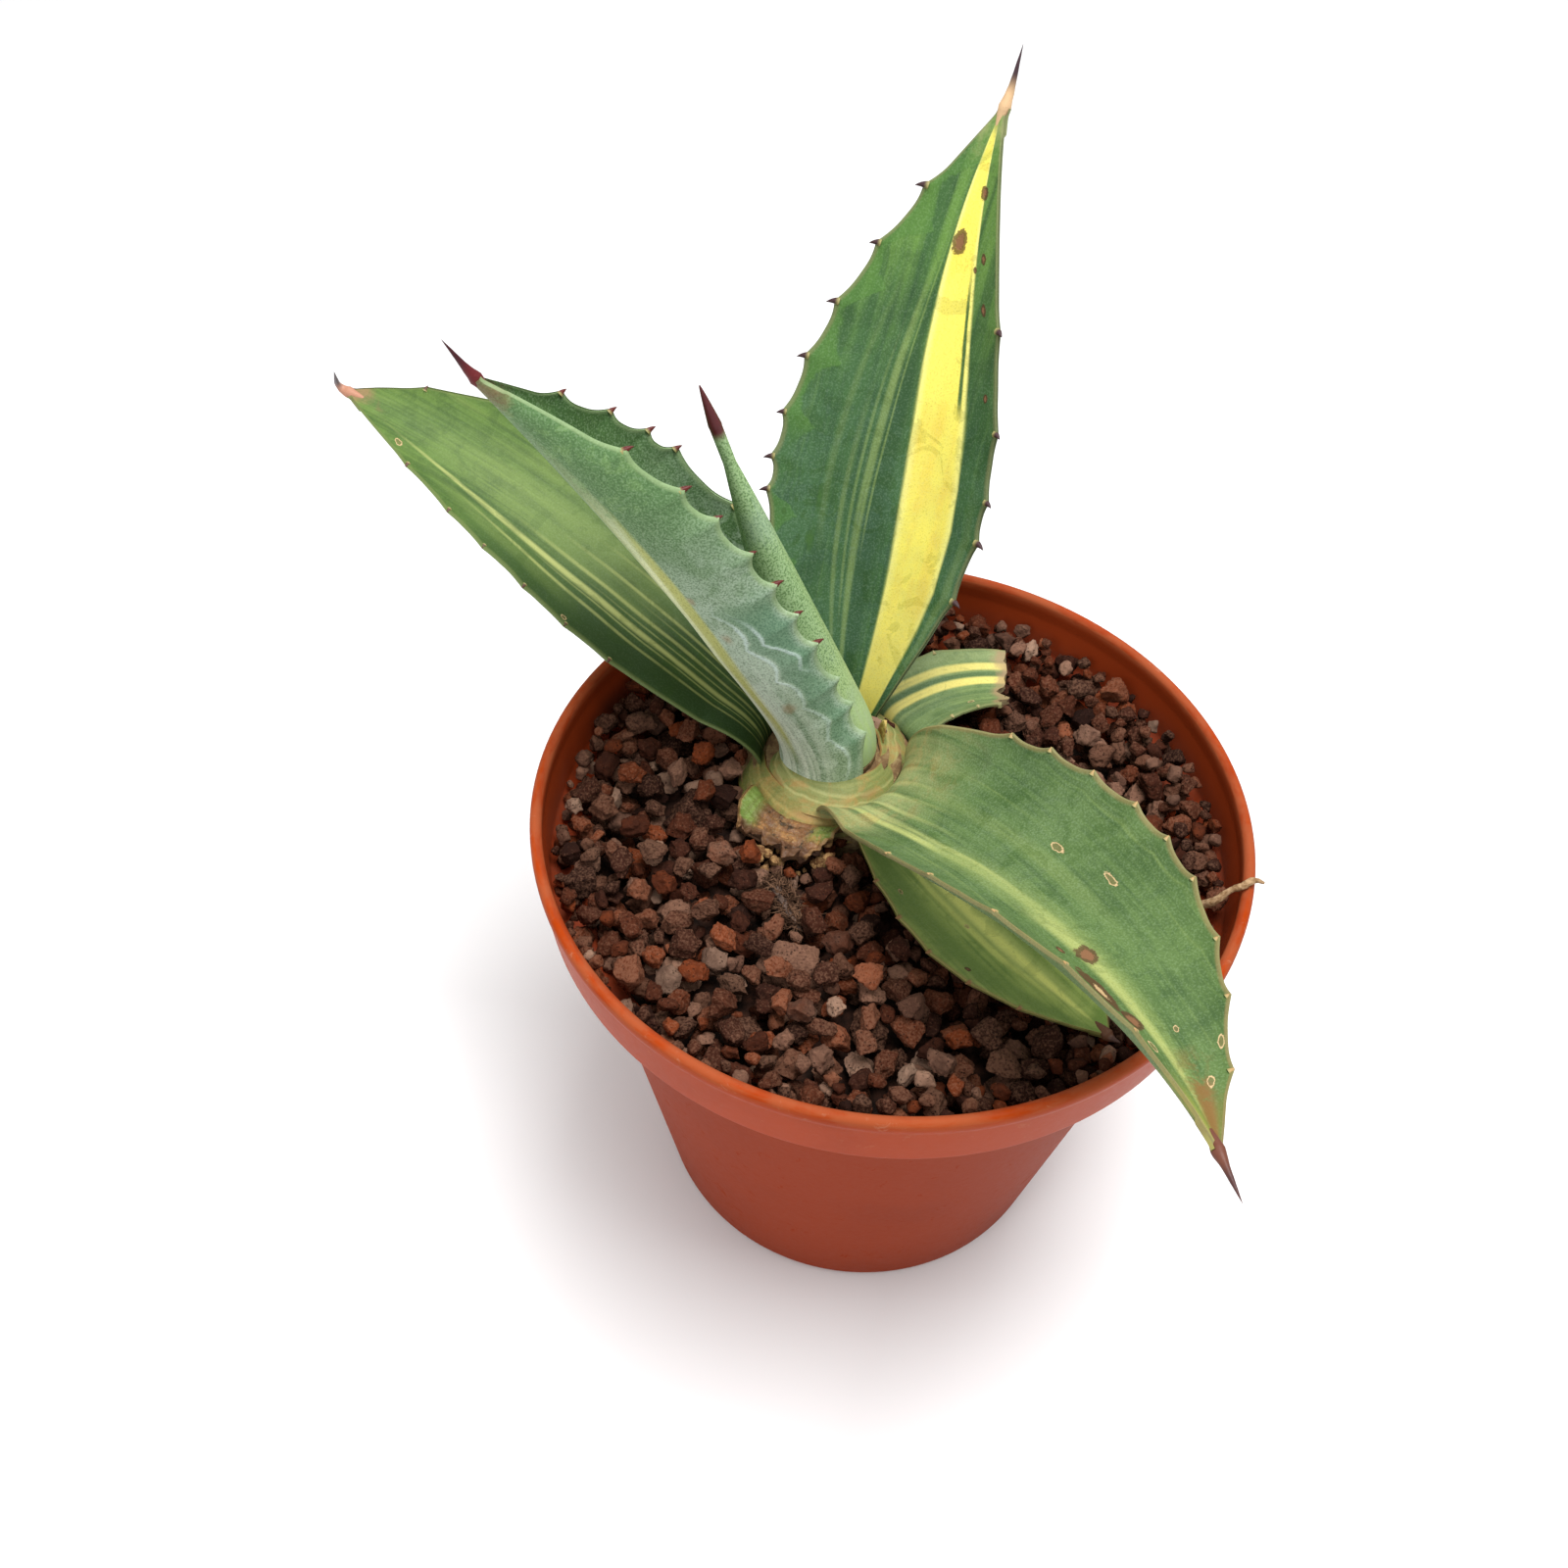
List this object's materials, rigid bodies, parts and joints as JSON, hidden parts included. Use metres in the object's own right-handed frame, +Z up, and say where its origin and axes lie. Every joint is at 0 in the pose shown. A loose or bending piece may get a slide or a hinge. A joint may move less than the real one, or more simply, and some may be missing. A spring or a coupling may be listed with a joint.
{
  "type": "potted agave",
  "caption": "Young variegated agave with toothed, spine-tipped striped leaves, rooted in a red lava gravel mix in a round tapered plastic nursery pot with a deep rim",
  "frame": {"origin": "Middle of the pot's foot, on the plane that it stands on", "axes": "+Z up along the pot's axis; +X towards the side that the cut leaf and the front leaf's tip lean to; +Y towards the tall back leaf; the long front leaf droops over the lip towards +X and -Y"},
  "size_m": [0.1731, 0.1678, 0.2074],
  "materials": {
    "pot_plastic": "moulded terracotta-coloured polypropylene with a satin sheen, a paler scuffed lip and fine vertical flow marks",
    "growing_mix": "loose red-brown lava and pink-grey pumice grit over dark mix, dry and rough",
    "stem_bark": "short fibrous brown stem with pale fleshy roots",
    "leaf_green": "waxy mid-green succulent skin with yellow lengthwise stripes, fine streaks, pale margins, brown scars and maroon teeth",
    "leaf_blue_green": "blue-green leaf back with a granular pale wax bloom and bud-print arcs",
    "leaf_dead": "dry crumbling brown leaf tissue and fibres",
    "straw": "dry straw-coloured stalk and bract",
    "stone_umber": "dark brown porous lava",
    "stone_rust": "rust-red porous lava",
    "stone_taupe": "grey-brown worn stone",
    "stone_pale": "pinkish pale pumice"
  },
  "bodies": {
    "root": {"pot": "pot_plastic", "growing_mix": "growing_mix", "stem_with_roots": "stem_bark", "leaf_left": "leaf_green", "leaf_inner_left": "leaf_blue_green", "leaf_spike": "leaf_blue_green", "leaf_back": "leaf_green", "leaf_front": "leaf_green", "leaf_lower_front": "leaf_green", "leaf_cut_right": "leaf_green", "leaf_stub_dead": "leaf_dead", "dry_straw": "straw", "dried_tuft": "leaf_dead", "bract": "straw", "stone_01": "stone_umber", "stone_02": "stone_taupe", "stone_03": "stone_pale", "stone_04": "stone_pale", "stone_05": "stone_pale", "stone_06": "stone_rust", "stone_07": "stone_taupe", "stone_08": "stone_rust", "stone_09": "stone_pale", "stone_10": "stone_pale", "stone_11": "stone_umber", "stone_12": "stone_rust", "stone_13": "stone_umber", "stone_14": "stone_pale", "stone_15": "stone_pale", "stone_16": "stone_taupe", "stone_17": "stone_rust", "stone_18": "stone_umber", "stone_19": "stone_pale", "stone_20": "stone_umber", "stone_21": "stone_rust", "stone_22": "stone_taupe", "stone_23": "stone_umber", "stone_24": "stone_rust", "stone_25": "stone_taupe", "stone_26": "stone_umber"}
  },
  "joints": []
}
